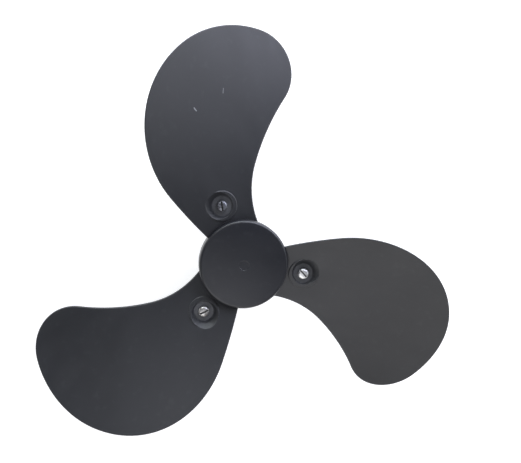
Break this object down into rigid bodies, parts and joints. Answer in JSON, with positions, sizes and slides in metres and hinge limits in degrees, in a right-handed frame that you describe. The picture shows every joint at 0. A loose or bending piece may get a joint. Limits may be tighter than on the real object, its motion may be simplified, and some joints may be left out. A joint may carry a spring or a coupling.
{
  "type": "pedestal fan blade",
  "caption": "Pedestal fan blade set: broad swept plastic leaves screwed to a cast hub with a round push-fit cap and a bored boss for the motor shaft.",
  "frame": {"origin": "on the shaft axis, in the plane where the leaves seat on the hub arms", "axes": "+Z along the shaft axis towards the front of the fan; +X to the right and +Y up as the picture shows the blade"},
  "size_m": [0.365, 0.3366, 0.0664],
  "materials": {
    "blade": "moulded satin charcoal plastic",
    "hub_cap": "moulded satin charcoal plastic, slightly glossier",
    "hub_casting": "as cast, machined bore",
    "plated_screw": "zinc plated",
    "washer": "zinc plated spring steel",
    "black_screw": "black oxide steel"
  },
  "bodies": {
    "root": {"hub_casting": "hub_casting", "hub_cap": "hub_cap", "set_screw": "black_screw", "blade_1": "blade", "blade_screw_1": "plated_screw", "blade_washer_1": "washer", "root_screw_1": "plated_screw", "root_washer_1": "washer", "blade_2": "blade", "blade_screw_2": "plated_screw", "blade_washer_2": "washer", "root_screw_2": "plated_screw", "root_washer_2": "washer", "blade_3": "blade", "blade_screw_3": "plated_screw", "blade_washer_3": "washer", "root_screw_3": "plated_screw", "root_washer_3": "washer"}
  },
  "joints": []
}
